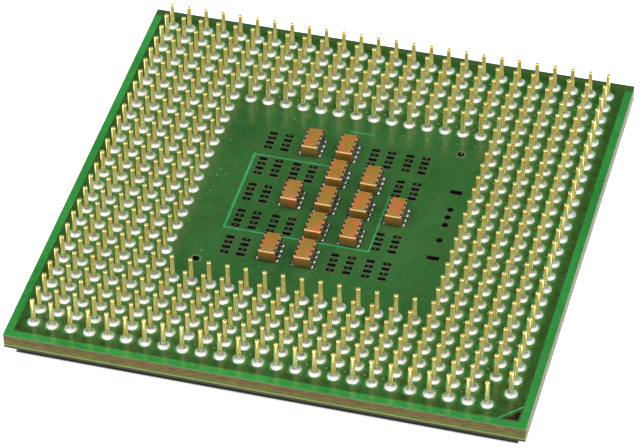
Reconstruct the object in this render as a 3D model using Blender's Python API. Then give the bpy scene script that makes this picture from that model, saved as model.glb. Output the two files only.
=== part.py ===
"""A pin-grid CPU package, 35 mm square, lying on its bare die with its pins pointing up.

+Z is the way the pins point, z = 0 is the outer face of the die, and the package is centred on the Z axis.
+X runs along the front edge to the keyed corner, which is at +X, -Y. Sizes are written in millimetres.
"""

import bmesh
import bpy
from mathutils import Matrix

MM = 0.001

# Pin grid
PIN_PITCH = 1.27
GRID_PINS = 26
FIELD_ROWS = 6  # rows between the package's edge and the open middle
EDGE_MARGIN = 1.625  # centre of an outermost pin to the edge of the package
PIN_DIAMETER = 0.32
PIN_LENGTH = 2.03
PIN_SIDES = 6
SOLDER_FOOT_DIAMETER = 0.86
SOLDER_FOOT_HEIGHT = 0.3
LAND_WIDTH = 0.95
LINK_WIDTH = 0.3
KEYED_PIN_INNER = (24, 1)  # grid places left empty at the keyed corner
KEYED_PIN_CORNER = (25, 0)

# Layers of the substrate, from the die side to the pin side
MASK_THICKNESS = 0.025
OUTER_COPPER_THICKNESS = 0.015
BUILD_UP_THICKNESS = 0.06
INNER_COPPER_THICKNESS = 0.025
CORE_THICKNESS = 0.8
LAYER_GAP = 0.01
LAND_GAP = 0.03  # between a land and the sheets it stands in
OUTER_COPPER_INSET = 0.6
INNER_COPPER_INSET = 0.5

# Die, bumps and underfill
DIE_LENGTH = 12.5
DIE_WIDTH = 7.0
DIE_THICKNESS = 0.74
BUMP_LAYER_THICKNESS = 0.06
BUMP_LAYER_INSET = 0.15
UNDERFILL_REACH = 0.9  # how far its foot spreads past the die
UNDERFILL_LIP = 0.06  # its width where it ends on the die's wall
UNDERFILL_CLIMB = 0.52  # how far it climbs the die's wall
UNDERFILL_GAP = 0.01
UNDERFILL_CORNER_CUT = 0.5

# Power island in the outer copper of the pin side
ISLAND_LEFT = -6.4
ISLAND_RIGHT = 3.67
ISLAND_FRONT = -3.8
ISLAND_BACK = 3.93
ISLAND_SPLIT = 0.12

# Decoupling capacitors
SITE_CENTRE_X = -0.26
SITE_CENTRE_Y = 0.08
SITE_STEP_X = 2.435
SITE_STEP_Y = 2.75
FILLED_SITES = (
    # (column, row), counted from the middle site, from the back row to the front
    (-1, 2),
    (0, 2),
    (0, 1),
    (1, 1),
    (-1, 0),
    (0, 0),
    (1, 0),
    (2, 0),
    (0, -1),
    (1, -1),
    (-1, -2),
    (0, -2),
)
CAPACITOR_WIDTH = 1.13
CAPACITOR_LENGTH = 2.0
CAPACITOR_HEIGHT = 0.85
CAPACITOR_STANDOFF = 0.02
TERMINALS_PER_SIDE = 4
TERMINAL_PITCH = 0.5
TERMINAL_WIDTH = 0.28
TERMINAL_DEPTH = 0.05

# Corner marks
MARK_LEG = 1.3
MARK_INSET = 0.62

HELPER_REACH = 1.0  # how far a cutter runs past what it cuts

PACKAGE_SIDE = (GRID_PINS - 1) * PIN_PITCH + 2 * EDGE_MARGIN
HALF_SIDE = PACKAGE_SIDE / 2

# Heights of the layers above the die's outer face
die_mask_low = DIE_THICKNESS + BUMP_LAYER_THICKNESS + 2 * LAYER_GAP
die_mask_high = die_mask_low + MASK_THICKNESS
die_copper_low = die_mask_high + LAYER_GAP
die_copper_high = die_copper_low + OUTER_COPPER_THICKNESS
die_build_up_low = die_copper_high + LAYER_GAP
die_build_up_high = die_build_up_low + BUILD_UP_THICKNESS
die_plane_low = die_build_up_high + LAYER_GAP
die_plane_high = die_plane_low + INNER_COPPER_THICKNESS
core_low = die_plane_high + LAYER_GAP
core_high = core_low + CORE_THICKNESS
pin_plane_low = core_high + LAYER_GAP
pin_plane_high = pin_plane_low + INNER_COPPER_THICKNESS
pin_build_up_low = pin_plane_high + LAYER_GAP
pin_build_up_high = pin_build_up_low + BUILD_UP_THICKNESS
pin_copper_low = pin_build_up_high + LAYER_GAP
pin_copper_high = pin_copper_low + OUTER_COPPER_THICKNESS
pin_mask_low = pin_copper_high + LAYER_GAP
pin_mask_high = pin_mask_low + MASK_THICKNESS


def material(name, colour, roughness, metallic=0.0):
    made = bpy.data.materials.new(name)
    made.use_nodes = True
    shader = made.node_tree.nodes["Principled BSDF"]
    shader.inputs["Base Color"].default_value = (*colour, 1.0)
    shader.inputs["Roughness"].default_value = roughness
    shader.inputs["Metallic"].default_value = metallic
    made.diffuse_color = (*colour, 1.0)
    return made


def add_object(name, mesh_of, look=None, at=(0.0, 0.0, 0.0), helper=False):
    """An object whose mesh, in millimetres, is filled in by mesh_of. A helper only cuts or joins another object."""
    shape = bmesh.new()
    mesh_of(shape)
    bmesh.ops.scale(shape, vec=(MM, MM, MM), verts=shape.verts)
    bmesh.ops.recalc_face_normals(shape, faces=shape.faces)
    mesh = bpy.data.meshes.new(name)
    shape.to_mesh(mesh)
    shape.free()
    made = bpy.data.objects.new(name, mesh)
    made.location = [value * MM for value in at]
    bpy.context.scene.collection.objects.link(made)
    if look:
        mesh.materials.append(look)
    if helper:
        made.hide_render = True
        made.display_type = "WIRE"
    return made


def prism(shape, outline, low, high):
    """Extrudes a list of (x, y) corners from z = low to z = high."""
    bottom = [shape.verts.new((x, y, low)) for x, y in outline]
    top = [shape.verts.new((x, y, high)) for x, y in outline]
    shape.faces.new(bottom[::-1])
    shape.faces.new(top)
    for i in range(len(outline)):
        j = (i + 1) % len(outline)
        shape.faces.new((bottom[i], bottom[j], top[j], top[i]))


def rectangle(left, right, front, back):
    return [(left, front), (right, front), (right, back), (left, back)]


def square(half):
    return rectangle(-half, half, -half, half)


def grown(bounds, by):
    left, right, front, back = bounds
    return rectangle(left - by, right + by, front - by, back + by)


def combine(target, other, operation):
    modifier = target.modifiers.new(operation.lower(), "BOOLEAN")
    modifier.operation = operation
    modifier.solver = "EXACT"
    modifier.object = other


def sheet(name, half, low, high, look):
    """A plain square layer of the substrate."""
    return add_object(name, lambda shape: prism(shape, square(half), low, high), look)


# Pins


def grid_place(column, row):
    middle = (GRID_PINS - 1) / 2
    return (column - middle) * PIN_PITCH, (row - middle) * PIN_PITCH


def in_field(column, row):
    last = GRID_PINS - FIELD_ROWS
    in_middle = FIELD_ROWS <= column < last and FIELD_ROWS <= row < last
    return not in_middle and (column, row) not in (KEYED_PIN_INNER, KEYED_PIN_CORNER)


def pin_groups():
    """(name, grid places in order) of each straight row or column of pins."""
    last = GRID_PINS - 1
    every = range(GRID_PINS)
    between = range(FIELD_ROWS, GRID_PINS - FIELD_ROWS)
    groups = []
    for k in range(FIELD_ROWS):
        groups.append((f"pin_row_front_{k + 1}", [(i, k) for i in every]))
        groups.append((f"pin_row_back_{k + 1}", [(i, last - k) for i in every]))
        groups.append((f"pin_column_left_{k + 1}", [(k, j) for j in between]))
        groups.append((f"pin_column_right_{k + 1}", [(last - k, j) for j in between]))
    return [(name, [p for p in places if in_field(*p)]) for name, places in groups]


def runs_of(places):
    """Splits the places of a group where one is left out."""
    runs = [[places[0]]]
    for before, place in zip(places, places[1:]):
        if abs(place[0] - before[0]) + abs(place[1] - before[1]) > 1:
            runs.append([])
        runs[-1].append(place)
    return runs


def land_bounds(run, width):
    """(left, right, front, back) of the land under a run of pins."""
    ends = [grid_place(*run[0]), grid_place(*run[-1])]
    xs = [x for x, _ in ends]
    ys = [y for _, y in ends]
    half = width / 2
    return min(xs) - half, max(xs) + half, min(ys) - half, max(ys) + half


def pins_on(shape, places):
    """Each pin with its solder foot, as one turned shape that starts inside the land."""
    profile = (
        # (radius, height above the land)
        (SOLDER_FOOT_DIAMETER / 2, -MASK_THICKNESS),
        (SOLDER_FOOT_DIAMETER / 2, 0.0),
        (PIN_DIAMETER / 2, SOLDER_FOOT_HEIGHT),
        (PIN_DIAMETER / 2, PIN_LENGTH),
    )
    for place in places:
        x, y = grid_place(*place)
        rings = []
        for radius, height in profile:
            at = Matrix.Translation((x, y, pin_mask_high + height))
            ring = bmesh.ops.create_circle(shape, segments=PIN_SIDES, radius=radius, matrix=at)
            rings.append(ring["verts"])
        shape.faces.new(rings[0][::-1])
        shape.faces.new(rings[-1])
        for lower, upper in zip(rings, rings[1:]):
            for i in range(PIN_SIDES):
                j = (i + 1) % PIN_SIDES
                shape.faces.new((lower[i], lower[j], upper[j], upper[i]))


def build_pins(look):
    """One object per straight group of pins. The lands of a group are joined, as one strip of plated copper."""
    for name, places in pin_groups():
        runs = runs_of(places)

        def lands(shape, runs=runs):
            for run in runs:
                left, right, front, back = land_bounds(run, LAND_WIDTH)
                prism(shape, rectangle(left, right, front, back), pin_copper_low, pin_mask_high)

        strip = add_object(name, lands, look)
        if len(runs) > 1:
            # the keyed place in the group is bridged under the mask
            left, right, front, back = land_bounds(places, LINK_WIDTH)
            link = add_object(
                name + "_link",
                lambda shape: prism(
                    shape, rectangle(left, right, front, back), pin_copper_low, pin_copper_high
                ),
                helper=True,
            )
            combine(strip, link, "UNION")
        pins = add_object(name + "_pins", lambda shape: pins_on(shape, places), helper=True)
        combine(strip, pins, "UNION")


# Sheets with openings


def cut_land_openings(target, low, high, with_link):
    """Cuts the openings for the lands, and for the bridge at the keyed place in a sheet at its level."""

    def openings(shape):
        for _, places in pin_groups():
            runs = [places] if with_link else runs_of(places)
            for run in runs:
                outline = grown(land_bounds(run, LAND_WIDTH), LAND_GAP)
                prism(shape, outline, low - HELPER_REACH, high + HELPER_REACH)

    cutter = add_object(target.name + "_openings", openings, helper=True)
    combine(target, cutter, "DIFFERENCE")


def mark_outline(by=0.0):
    """The corner mark's triangle, its right angle at the keyed corner, grown by a gap."""
    corner = HALF_SIDE - MARK_INSET
    near = corner + by
    far = corner - MARK_LEG - by * (1 + 2**0.5)
    return [(far, -near), (near, -near), (near, -far)]


def cut_mark(target, low, high):
    cutter = add_object(
        target.name + "_mark_opening",
        lambda shape: prism(shape, mark_outline(LAND_GAP), low - HELPER_REACH, high + HELPER_REACH),
        helper=True,
    )
    combine(target, cutter, "DIFFERENCE")


def build_substrate(mask_look, copper_look, laminate_look, core_look, gold_look):
    outer_copper_half = HALF_SIDE - OUTER_COPPER_INSET
    inner_copper_half = HALF_SIDE - INNER_COPPER_INSET
    island = (ISLAND_LEFT, ISLAND_RIGHT, ISLAND_FRONT, ISLAND_BACK)

    die_mask = sheet("solder_mask_die_side", HALF_SIDE, die_mask_low, die_mask_high, mask_look)
    die_plane = sheet(
        "ground_plane_die_side", outer_copper_half, die_copper_low, die_copper_high, copper_look
    )
    for target in (die_mask, die_plane):
        cut_mark(target, die_mask_low, die_copper_high)
    add_object(
        "corner_mark_die_side",
        lambda shape: prism(shape, mark_outline(), die_mask_low, die_copper_high),
        gold_look,
    )
    sheet("build_up_die_side", HALF_SIDE, die_build_up_low, die_build_up_high, laminate_look)
    sheet("inner_plane_die_side", inner_copper_half, die_plane_low, die_plane_high, copper_look)
    sheet("substrate_core", HALF_SIDE, core_low, core_high, core_look)
    sheet("inner_plane_pin_side", inner_copper_half, pin_plane_low, pin_plane_high, copper_look)
    sheet("build_up_pin_side", HALF_SIDE, pin_build_up_low, pin_build_up_high, laminate_look)

    pin_plane = sheet(
        "ground_plane_pin_side", outer_copper_half, pin_copper_low, pin_copper_high, copper_look
    )
    cut_land_openings(pin_plane, pin_copper_low, pin_copper_high, with_link=True)
    split = add_object(
        "island_opening",
        lambda shape: prism(
            shape,
            grown(island, ISLAND_SPLIT),
            pin_copper_low - HELPER_REACH,
            pin_copper_high + HELPER_REACH,
        ),
        helper=True,
    )
    combine(pin_plane, split, "DIFFERENCE")
    add_object(
        "power_island_pin_side",
        lambda shape: prism(shape, rectangle(*island), pin_copper_low, pin_copper_high),
        copper_look,
    )
    pin_mask = sheet("solder_mask_pin_side", HALF_SIDE, pin_mask_low, pin_mask_high, mask_look)
    cut_land_openings(pin_mask, pin_mask_low, pin_mask_high, with_link=False)
    for target in (pin_plane, pin_mask):
        cut_mark(target, pin_copper_low, pin_mask_high)
    add_object(
        "corner_mark_pin_side",
        lambda shape: prism(shape, mark_outline(), pin_copper_low, pin_mask_high),
        gold_look,
    )


# Die side


def cut_corners(half_x, half_y, cut):
    """A rectangle about the origin with its corners cut off."""
    return [
        (half_x, -half_y + cut),
        (half_x, half_y - cut),
        (half_x - cut, half_y),
        (-half_x + cut, half_y),
        (-half_x, half_y - cut),
        (-half_x, -half_y + cut),
        (-half_x + cut, -half_y),
        (half_x - cut, -half_y),
    ]


def underfill_body(shape):
    """A fillet that is narrow on the die's wall and widens to a foot on the substrate."""
    lip_x = DIE_LENGTH / 2 + UNDERFILL_GAP + UNDERFILL_LIP
    lip_y = DIE_WIDTH / 2 + UNDERFILL_GAP + UNDERFILL_LIP
    foot_x = DIE_LENGTH / 2 + UNDERFILL_REACH
    foot_y = DIE_WIDTH / 2 + UNDERFILL_REACH
    rings = (
        (cut_corners(lip_x, lip_y, UNDERFILL_LIP), DIE_THICKNESS - UNDERFILL_CLIMB),
        (cut_corners(foot_x, foot_y, UNDERFILL_CORNER_CUT), die_mask_low - LAYER_GAP),
    )
    low, high = ([shape.verts.new((x, y, z)) for x, y in ring] for ring, z in rings)
    shape.faces.new(low[::-1])
    shape.faces.new(high)
    for i in range(len(low)):
        j = (i + 1) % len(low)
        shape.faces.new((low[i], low[j], high[j], high[i]))


def build_die(silicon_look, bump_look, resin_look):
    die = (-DIE_LENGTH / 2, DIE_LENGTH / 2, -DIE_WIDTH / 2, DIE_WIDTH / 2)
    bumps_low = DIE_THICKNESS + LAYER_GAP
    add_object(
        "silicon_die", lambda shape: prism(shape, rectangle(*die), 0.0, DIE_THICKNESS), silicon_look
    )
    add_object(
        "solder_bump_layer",
        lambda shape: prism(
            shape,
            grown(die, -BUMP_LAYER_INSET),
            bumps_low,
            bumps_low + BUMP_LAYER_THICKNESS,
        ),
        bump_look,
    )
    underfill = add_object("underfill", underfill_body, resin_look)
    well = add_object(
        "underfill_well",
        lambda shape: prism(
            shape, grown(die, UNDERFILL_GAP), -HELPER_REACH, die_mask_low + HELPER_REACH
        ),
        helper=True,
    )
    combine(underfill, well, "DIFFERENCE")


# Capacitors


def capacitor_outline():
    """The body's rectangle with the terminals standing out of its long sides."""
    body_x = CAPACITOR_WIDTH / 2
    end_x = body_x + TERMINAL_DEPTH
    half_y = CAPACITOR_LENGTH / 2
    right = [(body_x, -half_y)]
    for k in range(TERMINALS_PER_SIDE):
        middle = (k - (TERMINALS_PER_SIDE - 1) / 2) * TERMINAL_PITCH
        low = middle - TERMINAL_WIDTH / 2
        high = middle + TERMINAL_WIDTH / 2
        right += [(body_x, low), (end_x, low), (end_x, high), (body_x, high)]
    right.append((body_x, half_y))
    return right + [(-x, -y) for x, y in right]


def build_capacitors(look):
    outline = capacitor_outline()
    for number, (column, row) in enumerate(FILLED_SITES, 1):
        add_object(
            f"capacitor_{number}",
            lambda shape: prism(shape, outline, 0.0, CAPACITOR_HEIGHT),
            look,
            at=(
                SITE_CENTRE_X + column * SITE_STEP_X,
                SITE_CENTRE_Y + row * SITE_STEP_Y,
                pin_mask_high + CAPACITOR_STANDOFF,
            ),
        )


def main():
    for old in list(bpy.data.objects):
        bpy.data.objects.remove(old)
    build_die(
        material("silicon", (0.10, 0.11, 0.13), 0.12, 0.6),
        material("bump_solder", (0.62, 0.62, 0.64), 0.4, 1.0),
        material("underfill_resin", (0.05, 0.045, 0.035), 0.35),
    )
    build_substrate(
        material("solder_mask", (0.035, 0.16, 0.035), 0.35),
        material("plane_copper", (0.72, 0.38, 0.22), 0.35, 1.0),
        material("build_up_laminate", (0.30, 0.20, 0.09), 0.6),
        material("core_laminate", (0.27, 0.27, 0.10), 0.65),
        material("mark_gold", (0.83, 0.62, 0.25), 0.28, 1.0),
    )
    build_pins(material("pin_gold", (0.85, 0.66, 0.30), 0.28, 1.0))
    build_capacitors(material("capacitor_ceramic", (0.45, 0.20, 0.06), 0.5))


main()
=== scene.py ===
"""The looks of a pin-grid processor package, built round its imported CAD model.

Shapes are worked out in millimetres, in the model's own frame, and become metres when a piece is made.
"""

import math

import bpy
import numpy as np
from mathutils import Matrix, Vector


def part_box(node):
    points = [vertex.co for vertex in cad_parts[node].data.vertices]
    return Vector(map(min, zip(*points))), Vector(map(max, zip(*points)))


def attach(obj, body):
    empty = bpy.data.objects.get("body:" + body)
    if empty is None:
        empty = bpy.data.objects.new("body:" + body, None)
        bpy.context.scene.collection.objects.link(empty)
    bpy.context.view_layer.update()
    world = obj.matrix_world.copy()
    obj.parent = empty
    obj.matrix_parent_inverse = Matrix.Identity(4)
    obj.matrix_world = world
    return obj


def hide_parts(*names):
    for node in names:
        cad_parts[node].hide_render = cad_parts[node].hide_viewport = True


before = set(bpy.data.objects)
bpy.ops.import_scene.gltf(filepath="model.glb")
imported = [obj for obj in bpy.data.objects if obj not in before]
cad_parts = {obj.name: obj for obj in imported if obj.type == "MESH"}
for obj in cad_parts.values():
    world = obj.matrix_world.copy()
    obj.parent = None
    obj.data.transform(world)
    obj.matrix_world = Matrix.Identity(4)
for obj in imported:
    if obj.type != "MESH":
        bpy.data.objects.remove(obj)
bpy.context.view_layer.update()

MM = 0.001
BODY = "root"
SEED = 478

# Pin grid
PITCH = 1.27
GRID = 26
FIELD_ROWS = 6
KEYED_PLACES = {(25, 0), (24, 1)}
PIN_LEAN = 0.0035  # sideways for each millimetre up, as a standard deviation
PIN_SHORTFALL = 0.012  # at most
PIN_SIDES = 20
PIN_PROFILE = (
    # (radius, height above the seating plane), from the nail head to the tip
    (0.370, -0.020),
    (0.380, 0.000),
    (0.370, 0.030),
    (0.200, 0.060),
    (0.180, 0.350),
    (0.163, 0.600),
    (0.152, 0.850),
    (0.148, 1.200),
    (0.144, 1.700),
    (0.148, 1.840),
    (0.150, 1.900),
    (0.149, 1.978),
    (0.138, 2.008),
    (0.112, 2.026),
    (0.050, 2.030),
)
JOINT_SIDES = 28
JOINT_PROFILE = (
    # (radius, height above the seating plane), up the solder from the land to where it ends on the pin
    (0.440, -0.025),
    (0.446, 0.004),
    (0.440, 0.034),
    (0.418, 0.062),
    (0.382, 0.086),
    (0.338, 0.108),
    (0.292, 0.132),
    (0.252, 0.164),
    (0.222, 0.208),
    (0.204, 0.262),
    (0.192, 0.325),
    (0.180, 0.385),
    (0.160, 0.420),
)
OPENING_RADIUS = 0.44  # of the mask round a solder joint

# Board
EDGE_POINTS = 110  # along one side
RIM_WIDTH = 0.57  # from the edge to where the outer copper starts
RIM_DROP = 0.004
TAPER = 0.02  # how much wider an opening in the mask is at the top
CLEARANCE = 0.035  # bare laminate round a pad, inside its opening
ROUND_CLEARANCE = 0.17  # the same for the test pads in the corners of the open middle
BARE_REACH = 0.10  # of the bare laminate's mesh past a pad, under the mask
SPLIT_WIDTH = 0.11
SPLIT_DEPTH = 0.007
MARK_SHARE = 0.80  # of the corner mark that is bare
VIA_SHARE = 0.38  # of the gaps between four pins that hold a filled via
VIA_WANDER = 0.06
VIA_RADIUS = 0.10
VIA_SPACING = 0.5
OVERSHOOT = 0.1  # of a cutter past the faces that it cuts

# Capacitor sites: five columns and five rows of eight pads
SITES = 5
SITE_STEP_X = 2.435
SITE_STEP_Y = 2.75
PAD_COLUMN = 0.565  # from the middle of a site to its two columns of pads
PAD_HALF_X = 0.30
PAD_HALF_Y = 0.15
PAD_PITCH = 0.5
PADS_IN_COLUMN = 4
CAPACITORS = 12

# Camera and light. Angles are in degrees.
VIEW_AZIMUTH = 15.43
VIEW_ELEVATION = 42.1
VIEW_ROLL = -0.68
VIEW_AIM = (-0.19, -1.93)  # in millimetres from the middle of the board
VIEW_DISTANCE = 0.2495
VIEW_LENS = 208.25
OPENING_ELEVATION = 34.0  # of the middle of the tent's dark opening
OPENING_REACH = 19.5
OPENING_EDGE = 7.0  # over which the opening fades into the tent
# Strengths of the light
TENT_STRENGTH = 1.0
OPENING_STRENGTH = 0.06
FLOOR_GLOW = 0.60
# Distances from the board's edge, under it, over which the floor's painted shadow ends and its painted glow
# starts
SHADE_ENDS = (0.66, 0.54)
GLOW_STARTS = (0.64, 0.50)

TEST_PADS = (
    # (x, y, half length, half width), round where the two are equal
    (7.35, 7.41, 0.24, 0.24),
    (-7.35, -7.28, 0.26, 0.26),
    (7.98, 1.65, 0.24, 0.24),
    (7.98, 0.85, 0.24, 0.24),
    (7.98, 0.06, 0.24, 0.24),
    (7.98, -1.52, 0.24, 0.24),
    (7.95, 3.45, 0.43, 0.20),
    (7.98, -3.33, 0.43, 0.20),
)


def box_of(node):
    low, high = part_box(node)
    return np.array(low) / MM, np.array(high) / MM


core_low, core_high = box_of("substrate_core")
CENTRE = (core_low + core_high) / 2
HALF = (core_high[0] - core_low[0]) / 2
SEAT = box_of("solder_mask_pin_side")[1][2]
MIDDLE = CENTRE[2]
die_low, die_high = box_of("silicon_die")


def at_place(i, j):
    middle = (GRID - 1) / 2
    return CENTRE[0] + (i - middle) * PITCH, CENTRE[1] + (j - middle) * PITCH


# Materials


def new_look(name, roughness, metallic=0.0, ior=1.5):
    """A Principled material, with its node tree and its shader."""
    made = bpy.data.materials.new(name)
    made.use_nodes = True
    shader = made.node_tree.nodes["Principled BSDF"]
    shader.inputs["Roughness"].default_value = roughness
    shader.inputs["Metallic"].default_value = metallic
    shader.inputs["IOR"].default_value = ior
    return made, made.node_tree, shader


def stretched(tree, factors=(1, 1, 1)):
    """Positions in the model's frame, multiplied along each axis."""
    position = tree.nodes.new("ShaderNodeTexCoord")
    mapping = tree.nodes.new("ShaderNodeMapping")
    mapping.inputs["Scale"].default_value = factors
    tree.links.new(position.outputs["Object"], mapping.inputs["Vector"])
    return mapping.outputs["Vector"]


def noise(tree, vector, size, detail=3.0, distortion=0.0):
    """Cloudy noise whose features are about size millimetres across."""
    made = tree.nodes.new("ShaderNodeTexNoise")
    made.inputs["Scale"].default_value = 1 / (size * MM)
    made.inputs["Detail"].default_value = detail
    made.inputs["Distortion"].default_value = distortion
    tree.links.new(vector, made.inputs["Vector"])
    return made.outputs["Fac"]


def ramp(tree, factor, stops):
    """A colour for each value of factor, from (value, colour) stops."""
    made = tree.nodes.new("ShaderNodeValToRGB")
    elements = made.color_ramp.elements
    while len(elements) < len(stops):
        elements.new(0.5)
    for element, (at, colour) in zip(elements, stops):
        element.position = at
        element.color = (*colour, 1.0)
    tree.links.new(factor, made.inputs["Fac"])
    return made.outputs["Color"]


def mixed(tree, factor, first, second):
    """first and second blended. Each of the three is an output of a node, or a value."""
    made = tree.nodes.new("ShaderNodeMix")
    made.data_type = "RGBA"
    for socket, value in ((made.inputs[0], factor), (made.inputs[6], first), (made.inputs[7], second)):
        if isinstance(value, bpy.types.NodeSocket):
            tree.links.new(value, socket)
        else:
            socket.default_value = (*value, 1.0) if isinstance(value, tuple) else value
    return made.outputs[2]


def spread(tree, factor, low, high, start=0.3, end=0.7):
    """factor from start to end, turned into values from low to high."""
    made = tree.nodes.new("ShaderNodeMapRange")
    for name, value in (("From Min", start), ("From Max", end), ("To Min", low), ("To Max", high)):
        made.inputs[name].default_value = value
    tree.links.new(factor, made.inputs["Value"])
    return made.outputs["Result"]


def bumped(tree, shader, height, depth, strength=1.0):
    """Relief of that depth in millimetres."""
    made = tree.nodes.new("ShaderNodeBump")
    made.inputs["Distance"].default_value = depth * MM
    made.inputs["Strength"].default_value = strength
    tree.links.new(height, made.inputs["Height"])
    tree.links.new(made.outputs["Normal"], shader.inputs["Normal"])


def height_of(tree):
    """Height above the floor in millimetres."""
    parts = tree.nodes.new("ShaderNodeSeparateXYZ")
    tree.links.new(stretched(tree, (1 / MM,) * 3), parts.inputs["Vector"])
    return parts.outputs["Z"]


def across(tree, axis):
    """Distance from the middle of the board along an axis, in millimetres."""
    parts = tree.nodes.new("ShaderNodeSeparateXYZ")
    tree.links.new(stretched(tree, (1 / MM,) * 3), parts.inputs["Vector"])
    return parts.outputs[axis]


def calculated(tree, operation, *values):
    """One step of arithmetic. Each value is an output of a node, or a number."""
    made = tree.nodes.new("ShaderNodeMath")
    made.operation = operation
    for socket, value in zip(made.inputs, values):
        if isinstance(value, bpy.types.NodeSocket):
            tree.links.new(value, socket)
        else:
            socket.default_value = value
    return made.outputs[0]


def reach_from_middle(tree):
    """The larger of the distances from the board's two middle lines, in millimetres."""
    return calculated(tree, "MAXIMUM", *[calculated(tree, "ABSOLUTE", across(tree, axis)) for axis in "XY"])


def open_middle(tree):
    """1 in the open middle of the board and 0 in the pin field, with a soft change between them."""
    inner = (GRID / 2 - FIELD_ROWS) * PITCH
    return spread(tree, reach_from_middle(tree), 1.0, 0.0, inner + 0.1, inner + 0.7)


def difference_squared(tree, value, other):
    difference = calculated(tree, "ABSOLUTE", calculated(tree, "SUBTRACT", value, other))
    return calculated(tree, "POWER", difference, 2.0)


def distance_to(tree, point):
    """Distance in millimetres from a point of the board, seen from above."""
    squares = [difference_squared(tree, across(tree, axis), value) for axis, value in zip("XY", point)]
    return calculated(tree, "SQRT", calculated(tree, "ADD", *squares))


def from_place(tree):
    """Distance in millimetres from the nearest place of the pin grid."""
    squares = []
    for axis in "XY":
        cell = calculated(tree, "FRACT", calculated(tree, "DIVIDE", across(tree, axis), PITCH))
        squares.append(difference_squared(tree, cell, 0.5))
    return calculated(tree, "MULTIPLY", calculated(tree, "SQRT", calculated(tree, "ADD", *squares)), PITCH)


def mask_look(name, dark, middle, light, patch, patch_share, plane_rings_and_shade=False, back_shade=None):
    """Green solder mask: slow colour change, small mottling, and darker brown patches over oxidised copper.

    Over the ground plane it is clearer green in the ring round each land, where the copper stops short, and
    darker and browner between the rings, the copper's tone deepened by painted shade among the pins. With
    back_shade it darkens to that colour along the back edge, as painted shade.
    """
    made, tree, shader = new_look(name, 0.18, ior=1.42)
    place = stretched(tree)
    slow = ramp(tree, noise(tree, place, 4.0, 4.0, 0.6), ((0.30, dark), (0.52, middle), (0.72, light)))
    fine = ramp(tree, noise(tree, place, 0.55, 5.0, 0.8), ((0.32, dark), (0.55, middle), (0.80, light)))
    green = mixed(tree, 0.45, slow, fine)
    stained = spread(tree, noise(tree, place, 1.1, 4.0, 1.2), 0.0, patch_share, 0.50, 0.68)
    colour = mixed(tree, stained, green, patch)
    if plane_rings_and_shade:
        # Painted shade between the rings, where the pins shade the mask.
        shade_between_rings = ramp(
            tree,
            noise(tree, place, 0.7, 4.0, 1.0),
            ((0.32, (0.014, 0.038, 0.003)), (0.50, (0.020, 0.058, 0.008)), (0.68, (0.012, 0.078, 0.016))),
        )
        clear = ramp(
            tree,
            noise(tree, place, 0.5, 4.0, 1.0),
            ((0.30, (0.012, 0.092, 0.010)), (0.50, (0.018, 0.130, 0.020)), (0.72, (0.024, 0.175, 0.045))),
        )
        ring = spread(tree, from_place(tree), 1.0, 0.0, 0.55, 0.68)
        for i, j in sorted(KEYED_PLACES):
            off_key = spread(tree, distance_to(tree, at_place(i, j)), 0.0, 1.0, 0.62, 0.75)
            ring = calculated(tree, "MULTIPLY", ring, off_key)
        edge = (GRID - 1) / 2 * PITCH
        in_grid = spread(tree, reach_from_middle(tree), 1.0, 0.0, edge + 0.45, edge + 0.6)
        ring = calculated(tree, "MULTIPLY", ring, in_grid)
        field = mixed(tree, ring, shade_between_rings, clear)
        colour = mixed(tree, open_middle(tree), field, colour)
    # Painted shade along the back edge.
    if back_shade:
        back = spread(tree, across(tree, "Y"), 0.0, 1.0, HALF - 0.75, HALF - 0.60)
        colour = mixed(tree, back, colour, back_shade)
    tree.links.new(colour, shader.inputs["Base Color"])
    tree.links.new(spread(tree, noise(tree, place, 0.3, 2.0), 0.18, 0.30), shader.inputs["Roughness"])
    bumped(tree, shader, noise(tree, place, 0.22, 3.0), 0.002, 0.5)
    return made


def metal_look(name, dark, light, smooth, rough, grain, depth, stretch=(1, 1, 1), metallic=1.0):
    """Bare or plated metal whose tone and roughness change from place to place.

    A metallic share below 1 makes the surface paler and more even.
    """
    made, tree, shader = new_look(name, (smooth + rough) / 2, metallic=metallic)
    place = stretched(tree, stretch)
    tone = noise(tree, place, grain * 4, 3.0, 0.4)
    tree.links.new(ramp(tree, tone, ((0.35, dark), (0.62, light))), shader.inputs["Base Color"])
    grains = noise(tree, place, grain, 4.0)
    tree.links.new(spread(tree, grains, smooth, rough), shader.inputs["Roughness"])
    bumped(tree, shader, grains, depth, 0.6)
    return made


def laminate_look(name, upper, lower, fibre, split_height, split_width, seam=None):
    """Cut edge of a laminate: one tone above a height and another below it, with fibres drawn along the cut.

    seam, a height and a colour, is a paler band of clear resin.
    """
    made, tree, shader = new_look(name, 0.34, ior=1.3)
    streaks = noise(tree, stretched(tree, (1, 1, 9)), 0.7, 5.0, 0.5)
    patches = noise(tree, stretched(tree, (1, 1, 2.2)), 1.3, 4.0, 0.9)
    height = calculated(tree, "ADD", height_of(tree), spread(tree, patches, -0.16, 0.16))
    share = spread(tree, height, 0.0, 1.0, split_height - split_width, split_height + split_width)
    top = ramp(tree, streaks, tuple(zip((0.30, 0.50, 0.70), upper)))
    bottom = ramp(tree, streaks, tuple(zip((0.30, 0.50, 0.70), lower)))
    colour = mixed(tree, share, bottom, top)
    if seam:
        away = calculated(tree, "ABSOLUTE", calculated(tree, "SUBTRACT", height_of(tree), seam[0]))
        colour = mixed(tree, spread(tree, away, 0.8, 0.0, 0.04, 0.09), colour, seam[1])
    threads = spread(tree, noise(tree, stretched(tree, (1, 1, 16)), 0.35, 2.0), 0.0, 0.45, 0.60, 0.72)
    tree.links.new(mixed(tree, threads, colour, fibre), shader.inputs["Base Color"])
    bumped(tree, shader, streaks, 0.02, 0.7)
    return made


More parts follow.
